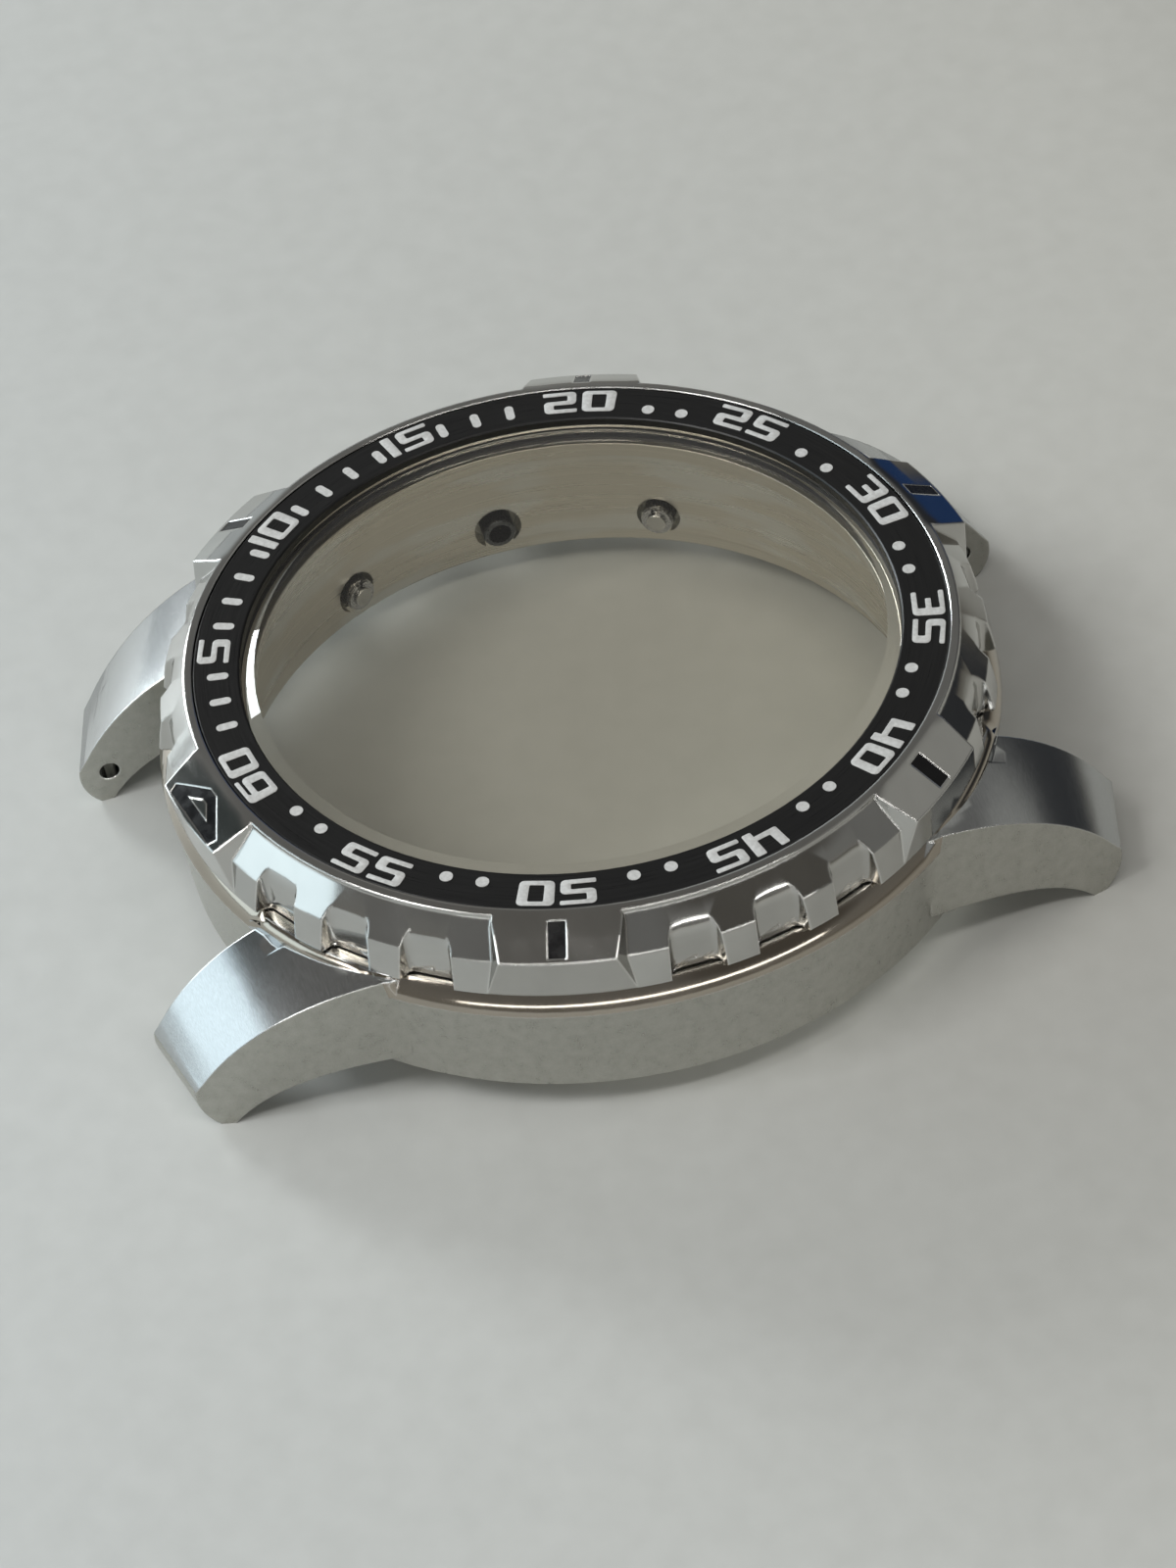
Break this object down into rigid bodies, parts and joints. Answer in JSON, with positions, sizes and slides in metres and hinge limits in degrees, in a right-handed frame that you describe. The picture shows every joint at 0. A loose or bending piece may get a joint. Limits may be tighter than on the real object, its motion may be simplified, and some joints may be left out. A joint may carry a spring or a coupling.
{
  "type": "empty watch case",
  "caption": "Empty round chronograph watch case with a turning diving bezel, crystal, lugs, crown tube and sprung pushers.",
  "frame": {"origin": "on the case axis, in the flat lower face of the case ring, at the mouth of the case-back bore", "axes": "+X towards 3 o'clock, where the crown tube is; +Y towards 12 o'clock; +Z out through the crystal"},
  "size_m": [0.0497, 0.0512, 0.0128],
  "materials": {
    "case_steel": "satin-brushed, polished at the lip",
    "bezel_steel": "mirror polished",
    "button_steel": "polished",
    "tube_steel": "turned",
    "spring_steel": "drawn wire",
    "tube_brass": "turned",
    "crystal_glass": "polished, bevelled edge",
    "gasket_nylon": "dark moulded nylon",
    "seal_rubber": "matt",
    "adhesive_film": "clear film",
    "insert_black": "satin black with white numerals",
    "enamel_black": "glossy fill"
  },
  "bodies": {
    "case": {"case_middle": "case_steel", "crown_tube": "tube_brass", "upper_pusher_tube": "tube_steel", "lower_pusher_tube": "tube_steel", "upper_pusher_gasket": "seal_rubber", "lower_pusher_gasket": "seal_rubber", "upper_pusher_spring": "spring_steel", "lower_pusher_spring": "spring_steel", "crystal": "crystal_glass", "crystal_gasket": "gasket_nylon", "bezel_gasket": "seal_rubber", "click_spring": "spring_steel"},
    "bezel": {"bezel_ring": "bezel_steel", "bezel_insert": "insert_black", "insert_adhesive": "adhesive_film", "slot_enamel": "enamel_black", "triangle_enamel": "enamel_black", "bezel_retaining_wire": "spring_steel"},
    "click_ball": {"click_ball": "bezel_steel"},
    "upper_pusher": {"upper_pusher_button": "button_steel", "upper_pusher_clip": "spring_steel"},
    "lower_pusher": {"lower_pusher_button": "button_steel", "lower_pusher_clip": "spring_steel"}
  },
  "joints": [
    {"name": "bezel_turn", "type": "hinge", "parent": "case", "child": "bezel", "pos_m": [0, 0, 0.0085], "axis": [0, 0, 1], "continuous": true},
    {"name": "click_ball_dip", "type": "slide", "parent": "case", "child": "click_ball", "axis": [0, 0, -1], "range_m": [0, 0.0003], "stiffness_N_per_m": 100, "deforming": ["click_spring"]},
    {"name": "upper_pusher_press", "type": "slide", "parent": "case", "child": "upper_pusher", "axis": [-0.8771, -0.4802, 0], "range_m": [0, 0.001], "stiffness_N_per_m": 1500, "deforming": ["upper_pusher_spring"]},
    {"name": "lower_pusher_press", "type": "slide", "parent": "case", "child": "lower_pusher", "axis": [-0.8771, 0.4802, 0], "range_m": [0, 0.001], "stiffness_N_per_m": 1500, "deforming": ["lower_pusher_spring"]}
  ]
}
